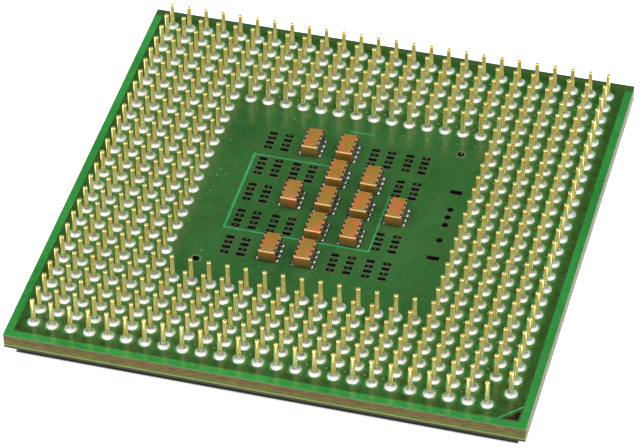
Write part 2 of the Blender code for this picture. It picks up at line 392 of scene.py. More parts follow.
MASK_GREENS = ((0.012, 0.066, 0.013), (0.022, 0.092, 0.019), (0.030, 0.110, 0.028), (0.040, 0.072, 0.022))
# Over the pin field this mask carries painted shade between the lands' rings.
MASK = mask_look("mask_over_copper", *MASK_GREENS, 0.45, plane_rings_and_shade=True)
MASK_UNDER = mask_look("mask_die_side", *MASK_GREENS, 0.45)
# The rim's back_shade is painted shade along the back edge.
MASK_PALE = mask_look(
    "mask_over_laminate",
    (0.012, 0.130, 0.020),
    (0.020, 0.188, 0.030),
    (0.040, 0.245, 0.052),
    (0.034, 0.150, 0.048),
    0.40,
    back_shade=(0.028, 0.072, 0.014),
)
MASK_TEAL = mask_look(
    "mask_over_split",
    (0.014, 0.170, 0.052),
    (0.027, 0.240, 0.082),
    (0.055, 0.310, 0.125),
    (0.048, 0.170, 0.075),
    0.40,
)
MASK_VIA = mask_look(
    "mask_over_via",
    (0.036, 0.110, 0.034),
    (0.060, 0.165, 0.054),
    (0.100, 0.230, 0.085),
    (0.085, 0.130, 0.055),
    0.40,
)
CLEAR_LAMINATE = mask_look(
    "bare_laminate",
    (0.030, 0.080, 0.030),
    (0.060, 0.130, 0.055),
    (0.110, 0.190, 0.100),
    (0.090, 0.090, 0.070),
    0.50,
)
PIN_GOLD = metal_look(
    "pin_gold", (0.98, 0.70, 0.20), (1.0, 0.90, 0.40), 0.13, 0.27, 0.07, 0.0015, (1, 1, 0.25), metallic=0.76
)
SOLDER = metal_look(
    "tin_solder", (0.40, 0.425, 0.385), (0.58, 0.605, 0.56), 0.24, 0.40, 0.07, 0.008, metallic=0.80
)
# Pad gold darkened nearly to black: a painted dark reflection of what its flat faces mirror.
PAD_GOLD_PAINTED_DARK = metal_look("pad_gold_painted_dark", (0.060, 0.055, 0.040), (0.130, 0.115, 0.080), 0.05, 0.12, 0.05, 0.0006)
# Tin darkened well below its own colour: a painted dark reflection of what its flat faces mirror.
TIN_PAINTED_DARK = metal_look("terminal_tin_painted_dark", (0.10, 0.10, 0.08), (0.26, 0.25, 0.22), 0.06, 0.14, 0.04, 0.001)
FILLET_SOLDER = metal_look("fillet_solder", (0.22, 0.24, 0.21), (0.60, 0.62, 0.57), 0.12, 0.26, 0.06, 0.004)
# Mark gold darkened nearly to black: a painted dark reflection of what its flat face mirrors.
MARK_GOLD_PAINTED_DARK = metal_look("mark_gold", (0.060, 0.045, 0.030), (0.110, 0.085, 0.055), 0.16, 0.26, 0.05, 0.001)
COPPER = metal_look("foil_copper", (0.62, 0.27, 0.14), (0.84, 0.45, 0.28), 0.25, 0.45, 0.10, 0.004)
BUMP_SOLDER = metal_look("bump_solder", (0.50, 0.50, 0.52), (0.72, 0.72, 0.74), 0.3, 0.5, 0.08, 0.004)
CORE_EDGE = laminate_look(
    "core_edge",
    ((0.044, 0.020, 0.003), (0.084, 0.050, 0.006), (0.150, 0.090, 0.014)),
    ((0.036, 0.044, 0.002), (0.068, 0.083, 0.004), (0.115, 0.140, 0.012)),
    (0.17, 0.16, 0.04),
    split_height=MIDDLE + 0.02,
    split_width=0.16,
    seam=(core_low[2] + 0.07, (0.165, 0.205, 0.055)),
)
# The die-side mask's cut edge, nearly black: painted shade for the dark line under the board's edge.
MASK_EDGE_SHADE = mask_look(
    "mask_edge_painted_shade",
    (0.008, 0.014, 0.003),
    (0.014, 0.022, 0.005),
    (0.024, 0.034, 0.009),
    (0.020, 0.020, 0.008),
    0.40,
)
# Cut edge of the build-up: olive on the pin side, and nearly black on the die side as painted shade for the
# dark line under the board's edge.
BUILD_UP_EDGE_AND_SHADE = laminate_look(
    "build_up_edge_and_painted_shade",
    ((0.060, 0.055, 0.012), (0.105, 0.100, 0.028), (0.160, 0.150, 0.050)),
    ((0.010, 0.011, 0.004), (0.020, 0.022, 0.008), (0.040, 0.042, 0.016)),
    (0.10, 0.10, 0.05),
    split_height=MIDDLE,
    split_width=0.20,
)


def ceramic_edge_highlight_look():
    """A painted highlight on the ceramic's rounded edges: paler and smoother."""
    made, tree, shader = new_look("ceramic_painted_edge_highlight", 0.18, ior=2.0)
    tone = noise(tree, stretched(tree), 0.2, 3.0)
    colour = ramp(tree, tone, ((0.35, (0.58, 0.27, 0.06)), (0.65, (0.74, 0.40, 0.12))))
    tree.links.new(colour, shader.inputs["Base Color"])
    tree.links.new(spread(tree, tone, 0.14, 0.24), shader.inputs["Roughness"])
    return made


def ceramic_look():
    """Fired brown ceramic with a thin glaze: olive in places and redder in others."""
    made, tree, shader = new_look("fired_ceramic", 0.24, ior=2.0)
    place = stretched(tree)
    tone = ramp(
        tree,
        noise(tree, place, 1.0, 2.5, 0.9),
        ((0.36, (0.200, 0.130, 0.008)), (0.50, (0.260, 0.120, 0.012)), (0.64, (0.370, 0.100, 0.018))),
    )
    specks = spread(tree, noise(tree, place, 0.09, 3.0), 0.0, 0.20, 0.58, 0.72)
    colour = mixed(tree, specks, tone, (0.40, 0.16, 0.04))
    # Darker towards the bottom, near the board.
    darker_low = spread(tree, height_of(tree), 0.85, 0.0, SEAT + 0.05, SEAT + 0.78)
    colour = mixed(tree, darker_low, colour, (0.080, 0.032, 0.003))
    tree.links.new(colour, shader.inputs["Base Color"])
    grains = noise(tree, place, 0.08, 4.0)
    tree.links.new(spread(tree, grains, 0.20, 0.34), shader.inputs["Roughness"])
    bumped(tree, shader, grains, 0.004, 0.6)
    return made


def silicon_look():
    """Polished silicon: dark, bluish and mirror-like, with faint polishing marks."""
    made, tree, shader = new_look("polished_silicon", 0.08, metallic=1.0)
    place = stretched(tree)
    tone = noise(tree, place, 2.5, 3.0, 0.3)
    colour = ramp(tree, tone, ((0.35, (0.150, 0.155, 0.180)), (0.65, (0.185, 0.190, 0.215))))
    tree.links.new(colour, shader.inputs["Base Color"])
    marks = noise(tree, stretched(tree, (1, 6, 1)), 0.3, 3.0, 2.0)
    tree.links.new(spread(tree, marks, 0.05, 0.14), shader.inputs["Roughness"])
    return made


def resin_look():
    """Filled epoxy: nearly black, glossy where it wetted out, with pale filler specks."""
    made, tree, shader = new_look("underfill_resin", 0.3)
    place = stretched(tree)
    tone = ramp(
        tree,
        noise(tree, place, 1.2, 4.0, 0.8),
        ((0.35, (0.020, 0.018, 0.016)), (0.65, (0.050, 0.045, 0.036))),
    )
    specks = spread(tree, noise(tree, place, 0.05, 2.0), 0.0, 0.6, 0.66, 0.74)
    tree.links.new(mixed(tree, specks, tone, (0.25, 0.23, 0.19)), shader.inputs["Base Color"])
    tree.links.new(spread(tree, noise(tree, place, 0.5, 3.0), 0.18, 0.40), shader.inputs["Roughness"])
    bumped(tree, shader, noise(tree, place, 0.4, 3.0), 0.010, 0.5)
    return made


CERAMIC = ceramic_look()
CERAMIC_EDGE_HIGHLIGHT = ceramic_edge_highlight_look()
SILICON = silicon_look()
RESIN = resin_look()


# Meshes


class Shape:
    """Points in millimetres and the faces between them, gathered part by part."""

    def __init__(self):
        self.points = []
        self.faces = []
        self.looks = []
        self.count = 0

    def add(self, points, faces, look=0):
        self.points.append(np.asarray(points, float))
        self.faces.extend(tuple(i + self.count for i in face) for face in faces)
        self.looks.extend([look] * len(faces) if isinstance(look, int) else look)
        self.count += len(points)

    def add_rings(self, rings, look=0, looped=False):
        """A skin over equal rings of points, each anticlockwise from above on the way up.

        It is closed at both ends, or joined from the last ring to the first when looped. look is one
        material number, or one for each band between two rings.
        """
        size = len(rings[0])
        last = len(rings) if looped else len(rings) - 1
        faces = []
        for k in range(last):
            a = k * size
            b = ((k + 1) % len(rings)) * size
            faces += [(a + i, a + (i + 1) % size, b + (i + 1) % size, b + i) for i in range(size)]
        looks = look if isinstance(look, int) else [value for value in look for _ in range(size)]
        if not looped:
            faces.append(tuple(range(size))[::-1])
            faces.append(tuple(range(last * size, last * size + size)))
            if not isinstance(look, int):
                looks += [look[0], look[-1]]
        self.add(np.concatenate(rings), faces, looks)

    def mesh(self, name, looks):
        made = bpy.data.meshes.new(name)
        made.from_pydata(np.concatenate(self.points) * MM, [], self.faces)
        for look in looks:
            made.materials.append(look)
        made.polygons.foreach_set("material_index", self.looks)
        made.update()
        return made


def piece(name, mesh, replaces=(), sharp=35):
    """A finished piece that rides on the package. Edges blunter than the sharp angle are shaded smooth."""
    mesh.shade_smooth()
    mesh.set_sharp_from_angle(angle=math.radians(sharp))
    made = bpy.data.objects.new(name, mesh)
    bpy.context.scene.collection.objects.link(made)
    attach(made, BODY)
    if replaces:
        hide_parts(*replaces)
    return made


def with_height(outline, z):
    return np.column_stack([outline, np.full(len(outline), z)])


def turned(profile, sides, at=(0.0, 0.0)):
    """Rings of a shape turned about an upright axis, from (radius, height) points."""
    angles = np.arange(sides) * 2 * math.pi / sides
    circle = np.column_stack([np.cos(angles), np.sin(angles)])
    return [with_height(circle * radius + at, z) for radius, z in profile]


def rounded(x, y, half_x, half_y, radius, steps=5):
    """A rectangle with round corners, anticlockwise."""
    radius = min(radius, half_x, half_y)
    turns = np.linspace(0, math.pi / 2, steps)
    arc = np.column_stack([np.cos(turns), np.sin(turns)]) * radius
    quarter_turn = np.array([[0, 1], [-1, 0]])
    points = []
    for sign_x, sign_y in ((1, 1), (-1, 1), (-1, -1), (1, -1)):
        corner = np.array([x + sign_x * (half_x - radius), y + sign_y * (half_y - radius)])
        points.append(corner + arc)
        arc = arc @ quarter_turn
    return np.concatenate(points)


def inset(outline, by):
    """A convex outline with each edge moved inwards."""
    points = np.asarray(outline, float)
    edges = np.roll(points, -1, axis=0) - points
    normals = np.column_stack([-edges[:, 1], edges[:, 0]]) / np.linalg.norm(edges, axis=1)[:, None]
    before = np.roll(normals, 1, axis=0)
    bisector = before + normals
    return points + bisector * (by / (1 + (before * normals).sum(axis=1)))[:, None]


def cut(mesh, shape, looks):
    """mesh with shape taken out of it. The cut faces keep the shape's material."""
    target = bpy.data.objects.new("target", mesh)
    cutter = bpy.data.objects.new("cutter", shape.mesh("cutter", looks))
    for made in (target, cutter):
        bpy.context.scene.collection.objects.link(made)
    modifier = target.modifiers.new("cut", "BOOLEAN")
    modifier.operation = "DIFFERENCE"
    modifier.solver = "MANIFOLD"
    modifier.material_mode = "TRANSFER"
    modifier.object = cutter
    evaluated = target.evaluated_get(bpy.context.evaluated_depsgraph_get())
    result = bpy.data.meshes.new_from_object(evaluated)
    for made in (target, cutter):
        bpy.data.objects.remove(made)
    return result


random = np.random.default_rng(SEED)


# Substrate


def square(points_per_side=EDGE_POINTS, corner=0.004, steps=3):
    """A square of half size 1 with slightly rounded corners, with points along its sides."""
    sides = []
    turns = np.linspace(0, math.pi / 2, steps)
    reach = 1 - corner * 1.5
    side = np.column_stack([np.ones(points_per_side), np.linspace(-reach, reach, points_per_side)])
    arc = np.column_stack([1 - corner + corner * np.cos(turns), 1 - corner + corner * np.sin(turns)])
    quarter_turn = np.array([[0, 1], [-1, 0]])
    for _ in range(4):
        sides += [side, arc]
        side = side @ quarter_turn
        arc = arc @ quarter_turn
    return np.concatenate(sides)


SQUARE = square()


def wandering(count, reach, amount):
    """Smooth closed random offsets, each the mean of its neighbours as far as reach."""
    values = random.normal(size=count)
    kernel = np.hanning(2 * reach + 1)
    smooth = np.convolve(np.concatenate([values[-reach:], values, values[:reach]]), kernel, "valid")
    return smooth / np.abs(smooth).max() * amount


def board_ring(edge_inset, z, roughness=0.0):
    """The board's outline at a height, moved inwards, and inwards again at random where the cut is rough."""
    half = np.full(len(SQUARE), HALF - edge_inset)
    if roughness:
        half -= roughness + wandering(len(SQUARE), 2, roughness)
    return with_height(SQUARE * half[:, None] + CENTRE[:2], z)


def plies(low, high, count, depth, roughness):
    """Rings up a cut edge that shows its plies as faint ridges."""
    rings = []
    for k in range(count):
        bottom = low + (high - low) * k / count
        top = low + (high - low) * (k + 1) / count
        recess = depth * (k % 2)
        slope = 0.15 * (top - bottom)
        rings += [(recess, bottom + slope, roughness), (recess, top - slope, roughness)]
    return rings


def flipped(rings):
    """The same profile on the other face of the board, from the bottom to the top again."""
    return [(edge_inset, 2 * MIDDLE - z, roughness) for edge_inset, z, roughness in rings[::-1]]


def board_mesh(name, rings, looks, look_of_ring=None):
    shape = Shape()
    shape.add_rings([board_ring(*ring) for ring in rings], look_of_ring or 0)
    return shape.mesh(name, looks)


def build_laminate():
    core = [(0.012, core_low[2] - 0.003, 0.0), *plies(core_low[2], core_high[2], 9, 0.006, 0.004)]
    core.append((0.012, core_high[2] + 0.003, 0.0))
    mesh = board_mesh("laminate_core", core, [CORE_EDGE])
    piece("laminate_core", mesh, ["substrate_core"])

    low, high = box_of("build_up_pin_side")
    lip = 0.45
    foot = core_high[2] + 0.006
    rings = [
        (lip, low[2] - 0.004, 0.0),
        (lip, foot, 0.0),
        (0.010, foot, 0.0),
        *plies(foot, high[2], 3, 0.004, 0.003),
        (0.010, high[2], 0.0),
    ]
    for name, profile, node in (
        ("build_up_upper", rings, "build_up_pin_side"),
        ("build_up_lower", flipped(rings), "build_up_die_side"),
    ):
        piece(name, board_mesh(name, profile, [BUILD_UP_EDGE_AND_SHADE]), [node])


def mask_rings():
    """Profile of the mask on the pin side: a thin sheet with a lower rim, where no copper lifts it."""
    low, high = box_of("solder_mask_pin_side")
    foot = box_of("build_up_pin_side")[1][2] + 0.003
    rim = high[2] - RIM_DROP
    return [
        (RIM_WIDTH - 0.02, low[2], 0.0),
        (RIM_WIDTH - 0.02, foot, 0.0),
        (0.015, foot, 0.0),
        (0.0, foot + 0.008, 0.002),
        (0.0, rim - 0.016, 0.002),
        (0.006, rim - 0.004, 0.001),
        (0.025, rim, 0.0),
        (RIM_WIDTH - 0.03, rim, 0.0),
        (RIM_WIDTH - 0.01, high[2] - RIM_DROP / 2, 0.0),
        (RIM_WIDTH + 0.02, high[2], 0.0),
    ]


def places():
    """The grid places of each strip of pins, by the name of its CAD node."""
    inner = range(FIELD_ROWS, GRID - FIELD_ROWS)
    found = {}
    for k in range(FIELD_ROWS):
        last = GRID - 1 - k
        found[f"row_front_{k + 1}"] = [(i, k) for i in range(GRID)]
        found[f"row_back_{k + 1}"] = [(i, last) for i in range(GRID)]
        found[f"column_left_{k + 1}"] = [(k, j) for j in inner]
        found[f"column_right_{k + 1}"] = [(last, j) for j in inner]
    return {name: [p for p in strip if p not in KEYED_PLACES] for name, strip in found.items()}


def site_centres():
    """The middle of each capacitor site. The middle site's capacitor says where the sites lie."""
    low, high = box_of("capacitor_6")
    middle = (low + high) / 2
    reach = SITES // 2
    return [
        (middle[0] + column * SITE_STEP_X, middle[1] + row * SITE_STEP_Y)
        for row in range(-reach, reach + 1)
        for column in range(-reach, reach + 1)
    ]


def column_places(y):
    """Where the pads of a column lie along y, for a site whose middle is at y."""
    return [y + (k - (PADS_IN_COLUMN - 1) / 2) * PAD_PITCH for k in range(PADS_IN_COLUMN)]


def site_pads(x, y):
    """The eight pads of a site, and whether each has a dimple over a via, as every other one does."""
    for side in (-1, 1):
        for k, pad_y in enumerate(column_places(y)):
            yield x + side * PAD_COLUMN, pad_y, (k + (side > 0)) % 2 == 0


def in_corner(y):
    """Whether a test pad is one of the two in the corners of the open middle, whose openings are wider."""
    return abs(y) > 7


def mark_outline(node):
    low, high = box_of(node)
    return np.array([(low[0], low[1]), (high[0], low[1]), (high[0], high[1])])


def cut_mark(node):
    """The part of a corner mark that the mask leaves bare, back from its long side."""
    corner = mark_outline(node)[1]
    return corner + (mark_outline(node) - corner) * MARK_SHARE


def tapered(shape, outline_at, low, high):
    """A cutter that widens by TAPER on its way up."""
    shape.add_rings([with_height(outline_at(0.0), low), with_height(outline_at(-TAPER), high)])


def dimple_cutter(shape, x, y, z, radius, side=1):
    """A shallow dish in the face at height z. side is 1 for an upper face and -1 for a lower one."""
    profile = [(radius * 0.35, -0.010), (radius * 0.75, -0.007), (radius, 0.0), (radius * 1.1, 0.02)]
    rings = turned([(r, z + side * h) for r, h in profile], 12, (x, y))
    shape.add_rings(rings if side > 0 else rings[::-1])


def via_places():
    """Filled vias under the mask: among the pins, and in the open middle near its back edge and its sides."""
    middle = (GRID - 1) / 2
    for i in range(GRID - 1):
        for j in range(GRID - 1):
            in_field = min(i, j) < FIELD_ROWS - 1 or max(i, j) >= GRID - FIELD_ROWS
            keyed = i >= GRID - 3 and j <= 1
            if in_field and not keyed and random.random() < VIA_SHARE:
                yield (
                    CENTRE[0] + (i + 0.5 - middle) * PITCH + random.uniform(-VIA_WANDER, VIA_WANDER),
                    CENTRE[1] + (j + 0.5 - middle) * PITCH + random.uniform(-VIA_WANDER, VIA_WANDER),
                    VIA_RADIUS,
                )
    chosen = [(x, y) for x, y, _, _ in TEST_PADS]
    for count, low, high, largest in (
        (26, (-8.2, 8.15), (8.2, 8.9), VIA_RADIUS),
        (12, (-8.6, -6.5), (-7.2, 6.5), 0.09),
    ):
        for x, y in random.uniform(low, high, (count, 2)):
            if all(math.hypot(x - other_x, y - other_y) > VIA_SPACING for other_x, other_y in chosen):
                chosen.append((x, y))
                yield (x, y, random.uniform(0.05, largest))


def with_groove(mask, outline, top):
    """The mask with a shallow groove of that outline in its top face, over a split in the copper."""
    groove = Shape()
    groove.add_rings(
        [
            with_height(inset(outline, 0.01), top - SPLIT_DEPTH),
            with_height(outline, top),
            with_height(outline, top + 0.05),
        ]
    )
    return cut(mask, groove, [MASK_TEAL])


def build_mask():
    rings = mask_rings()
    top = rings[-1][1]
    low = rings[1][1]
    bands = [1] * (len(rings) - 2) + [0]  # all but the flat top lie on bare laminate

    upper = board_mesh("mask_upper", rings, [MASK, MASK_PALE], bands)
    openings = Shape()
    profile = [(OPENING_RADIUS - TAPER, low - OVERSHOOT), (OPENING_RADIUS + TAPER, top + OVERSHOOT)]
    for strip in places().values():
        for place in strip:
            openings.add_rings(turned(profile, JOINT_SIDES, at_place(*place)))
    for x, y in site_centres():
        for pad_x, pad_y, _ in site_pads(x, y):
            tapered(
                openings,
                lambda d: rounded(pad_x, pad_y, PAD_HALF_X + CLEARANCE - d, PAD_HALF_Y + CLEARANCE - d, 0.10),
                low - OVERSHOOT,
                top + OVERSHOOT,
            )
    for x, y, half_x, half_y in TEST_PADS:
        gap = ROUND_CLEARANCE if in_corner(y) else CLEARANCE
        corner = half_x + gap if half_x == half_y else 0.08
        tapered(
            openings,
            lambda d: rounded(x, y, half_x + gap - d, half_y + gap - d, corner),
            low - OVERSHOOT,
            top + OVERSHOOT,
        )
    tapered(openings, lambda d: inset(cut_mark("corner_mark_pin_side"), d), low - OVERSHOOT, top + OVERSHOOT)
    upper = cut(upper, openings, [MASK])

    island_low, island_high = box_of("power_island_pin_side")
    left, front, _ = island_low
    right, back, _ = island_high
    # The split round the power island is open for some way at its far corner. The last one stands alone.
    for x0, x1, y0, y1, widening in (
        (left, left, front, back, 1.6),
        (left, right - 4.2, back, back, 1.0),
        (left, right, front, front, 1.1),
        (right, right, front, back - 2.0, 1.0),
        (-0.6, 1.0, 7.85, 7.85, 0.8),
    ):
        w = SPLIT_WIDTH / 2 * widening
        outline = np.array([(x0 - w, y0 - w), (x1 + w, y0 - w), (x1 + w, y1 + w), (x0 - w, y1 + w)])
        upper = with_groove(upper, outline, top)
    sharp_low, _, sharp_high = mark_outline("corner_mark_pin_side")
    along = (sharp_high - sharp_low) / np.linalg.norm(sharp_high - sharp_low)
    out = np.array([-along[1], along[0]])
    near = -out * 0.05
    far = out * 0.07
    band = np.array([sharp_low + near, sharp_high + near, sharp_high + far, sharp_low + far])
    band += np.array([-along, along, along, -along]) * 0.05
    upper = with_groove(upper, band, top)

    dimples = Shape()
    for x, y, radius in via_places():
        dimple_cutter(dimples, x, y, top, radius)
    upper = cut(upper, dimples, [MASK_VIA])
    piece("mask_pin_side", upper, ["solder_mask_pin_side"], 2)

    # Band 2, the die-side mask's cut edge, takes the nearly black painted shade.
    cut_edge = [1, 1, 2, 2, 2, 1, 1, 1, 0]
    lower = board_mesh("mask_lower", flipped(rings), [MASK_UNDER, MASK_PALE, MASK_EDGE_SHADE], cut_edge[::-1])
    openings = Shape()
    bottom = 2 * MIDDLE - top
    mark = cut_mark("corner_mark_die_side")
    openings.add_rings(
        [
            with_height(inset(mark, -TAPER), bottom - OVERSHOOT),
            with_height(inset(mark, 0.0), bottom + 2 * OVERSHOOT),
        ]
    )
    lower = cut(lower, openings, [MASK_UNDER])
    piece("mask_die_side", lower, ["solder_mask_die_side"], 2)


# Pins and their solder joints


def build_pins():
    for name, strip in places().items():
        pins = Shape()
        joints = Shape()
        for place in strip:
            lean = random.normal(0, PIN_LEAN, 2)
            shorter = random.uniform(0, PIN_SHORTFALL)
            pin = turned(PIN_PROFILE, PIN_SIDES)
            for ring in pin:
                height = max(ring[0, 2], 0.0)
                ring[:, :2] += lean * height
                if height > 1.0:
                    ring[:, 2] -= shorter
            joint = turned(JOINT_PROFILE, JOINT_SIDES)
            swell_joint(joint, lean)
            foot = np.array([*at_place(*place), SEAT])
            for shape, rings in ((pins, pin), (joints, joint)):
                shape.add_rings([ring + foot for ring in rings])
        piece(f"pins_{name}", pins.mesh(name, [PIN_GOLD]), [f"pin_{name}"], 28)
        piece(f"solder_{name}", joints.mesh(name, [SOLDER]), (), 60)


def swell_joint(rings, lean):
    """Makes one joint uneven: lobed where it wetted the land, and climbing higher on one side of the pin."""
    angles = np.arange(JOINT_SIDES) * 2 * math.pi / JOINT_SIDES
    phases = random.uniform(0, 2 * math.pi, 4)
    lobes = 0.022 * np.cos(2 * angles + phases[0]) + 0.018 * np.cos(3 * angles + phases[1])
    ripples = 0.020 * np.cos(7 * angles + phases[2]) + random.normal(0, 0.006, JOINT_SIDES)
    climb = 0.12 * np.cos(angles + phases[3]) + random.normal(0, 0.03, JOINT_SIDES)
    size = random.uniform(0.97, 1.03)
    count = len(rings)
    for k, ring in enumerate(rings):
        share = k / (count - 1)
        middle = math.sin(math.pi * share)
        factor = size if 0 < k < count - 4 else 1.0
        change = factor * (1 + (lobes + ripples) * middle * (1 if k < count - 3 else 0.3))
        ring[:, :2] *= change[:, None]
        ring[:, :2] += lean * max(ring[0, 2], 0.0)
        if 2 < k:
            ring[:, 2] += climb * ring[:, 2] * share


# Pads and marks


def add_pad(shape, outline_at, low, high, dimple=None):
    """A plated pad with a rolled edge, and a small dish at dimple, a point, if it has one."""
    rings = [
        with_height(outline_at(0.004), low),
        with_height(outline_at(0.0), low + 0.003),
        with_height(outline_at(0.0), high - 0.004),
        with_height(outline_at(0.004), high - 0.001),
        with_height(outline_at(0.010), high),
    ]
    if dimple is not None:
        reach = rings[-1][:, :2] - dimple
        turns = np.arctan2(reach[:, 1], reach[:, 0])
        circle = np.column_stack([np.cos(turns), np.sin(turns)])
        for radius, depth in ((0.085, 0.0), (0.072, 0.006), (0.050, 0.013), (0.02, 0.016)):
            rings.append(with_height(circle * radius + dimple, high - depth))
    shape.add_rings(rings)


def build_pads():
    """The pads and marks, with the bare laminate that shows round them through the mask's openings."""
    base = box_of("solder_mask_pin_side")[0][2]
    top = SEAT - 0.004
    bare = Shape()

    def add_bare(outline):
        bare.add_rings([with_height(outline, base - 0.012), with_height(outline, base - 0.0005)])

    for number, (x, y) in enumerate(site_centres(), 1):
        pads = Shape()
        for pad_x, pad_y, dimpled in site_pads(x, y):
            outline = lambda d: rounded(pad_x, pad_y, PAD_HALF_X - d, PAD_HALF_Y - d, 0.07 - d / 2)
            add_pad(pads, outline, base + 0.001, top, np.array([pad_x, pad_y]) if dimpled else None)
            add_bare(rounded(pad_x, pad_y, PAD_HALF_X + BARE_REACH, PAD_HALF_Y + BARE_REACH, 0.12))
        piece(f"site_pads_{number}", pads.mesh("site_pads", [PAD_GOLD_PAINTED_DARK]))
    tests = Shape()
    for x, y, half_x, half_y in TEST_PADS:
        corner = half_x if half_x == half_y else 0.06
        add_pad(tests, lambda d: rounded(x, y, half_x - d, half_y - d, corner - d), base + 0.001, top)
        grown = BARE_REACH + (0.12 if in_corner(y) else 0.0)
        add_bare(rounded(x, y, half_x + grown, half_y + grown, corner + grown))
    piece("test_pads", tests.mesh("test_pads", [PAD_GOLD_PAINTED_DARK]))

    add_bare(inset(mark_outline("corner_mark_pin_side"), -BARE_REACH))
    piece("bare_laminate_pin_side", bare.mesh("bare_laminate", [CLEAR_LAMINATE]))
    for name, on_die_side in (("mark_pin_side", False), ("mark_die_side", True)):
        shape = Shape()
        outline = inset(cut_mark(f"corner_{name}"), CLEARANCE)
        add_pad(shape, lambda d: inset(outline, d), base + 0.001, top)
        if on_die_side:
            shape.points = [points * (1, 1, -1) + (0, 0, 2 * MIDDLE) for points in shape.points]
            shape.faces = [face[::-1] for face in shape.faces]
        piece(name, shape.mesh(name, [MARK_GOLD_PAINTED_DARK]), [f"corner_{name}"])


# Capacitors


def ceramic_mesh(low, high):
    """A rounded block with the slight waves of fired ceramic."""
    shape = Shape()
    middle = (low + high) / 2
    half = (high - low) / 2
    radius = 0.075
    turns = (0.35, 0.7, 1.05, 1.4)
    curve = [(radius * (1 - math.sin(turn)), radius * (1 - math.cos(turn))) for turn in turns]
    heights = [(radius, low[2])]
    heights += [(by, low[2] + up) for by, up in curve]
    for share in (0.0, 0.33, 0.66, 1.0):
        heights.append((0.0, low[2] + radius + share * (high[2] - low[2] - 2 * radius)))
    heights += [(by, high[2] - up) for by, up in curve[::-1]]
    heights.append((radius, high[2]))
    rings = []
    for by, z in heights:
        outline = rounded(middle[0], middle[1], half[0] - by, half[1] - by, max(0.06 - by * 0.5, 0.02), 5)
        rings.append(with_height(outline + random.normal(0, 0.0016, outline.shape), z))
    # The rounded bands at the top take the painted edge highlight.
    bands = [0] * (len(rings) - 1)
    bands[-4:-1] = [1, 1, 1]
    shape.add_rings(rings, bands)
    mesh = shape.mesh("ceramic", [CERAMIC, CERAMIC_EDGE_HIGHLIGHT])
    # The painted highlight goes only on the edges along x, which face the front and the back.
    for face in mesh.polygons:
        if abs(face.normal.y) < abs(face.normal.x):
            face.material_index = 0
    return mesh


def add_terminal(shape, x, y, low, high, side, half_width):
    """A plated band that wraps from the underside up the side and a little way over the top."""
    tab = 0.16
    radius = 0.035
    skin = 0.03
    turns = np.linspace(0, math.pi / 2, 4)
    outer = [(x - side * tab, high)]
    outer += [(x - side * radius * (1 - math.sin(t)), high - radius * (1 - math.cos(t))) for t in turns]
    outer += [(x - side * radius * (1 - math.cos(t)), low + radius * (1 - math.sin(t))) for t in turns]
    outer += [(x - side * tab, low)]
    inner = [
        (x - side * tab, low + skin),
        (x - side * skin, low + radius),
        (x - side * skin, high - radius),
        (x - side * tab, high - skin),
    ]
    profile = np.array(outer + inner)
    middle = profile.mean(axis=0)
    rings = []
    flat = half_width - 0.012
    for at, shrink in ((-half_width, 0.985), (-flat, 1.0), (flat, 1.0), (half_width, 0.985)):
        points = middle + (profile - middle) * shrink
        rings.append(np.column_stack([points[:, 0], np.full(len(points), y + at), points[:, 1]]))
    if side > 0:
        rings = rings[::-1]
    shape.add_rings(rings)


def add_fillet(shape, x, y, low, side, half_width):
    """Solder that climbs from a pad up a terminal's face in a hollow curve."""
    reach = random.uniform(0.15, 0.21)
    climb = random.uniform(0.26, 0.36)
    turns = np.linspace(-math.pi / 2, math.pi / 2, 11)
    rings = []
    for out, wide, up in (
        (reach, 1.04, 0.0),
        (reach, 1.04, 0.014),
        (reach - 0.012, 1.00, 0.032),
        (reach - 0.036, 0.95, 0.041),
        (0.070, 0.90, 0.056),
        (0.036, 0.88, 0.100),
        (0.016, 0.86, 0.180),
        (0.008, 0.86, climb),
    ):
        half = half_width * wide
        curve = np.column_stack([x + side * out * np.cos(turns), y + side * half * np.sin(turns)])
        curve += random.normal(0, 0.0025, curve.shape)
        ends = half * 0.9
        back = np.array([(x - side * 0.02, y + side * ends), (x - side * 0.02, y - side * ends)])
        rings.append(with_height(np.concatenate([curve, back]), low + up))
    shape.add_rings(rings)


def build_capacitors():
    skin = (0.022, 0, 0.010)  # how far the terminals stand out from the ceramic
    for number in range(1, CAPACITORS + 1):
        node = f"capacitor_{number}"
        low, high = box_of(node)
        middle = (low + high) / 2
        piece(f"ceramic_{number}", ceramic_mesh(low + skin, high - skin), [node], 40)
        terminals = Shape()
        fillets = Shape()
        for side, x in ((-1, low[0]), (1, high[0])):
            for y in column_places(middle[1]):
                add_terminal(terminals, x, y, low[2], high[2], side, 0.14 + random.normal(0, 0.006))
                add_fillet(fillets, x, y, SEAT - 0.003, side, 0.15)
        piece(f"terminals_{number}", terminals.mesh("terminals", [TIN_PAINTED_DARK]), (), 40)
        piece(f"fillets_{number}", fillets.mesh("fillets", [FILLET_SOLDER]), (), 50)


# Die and underfill


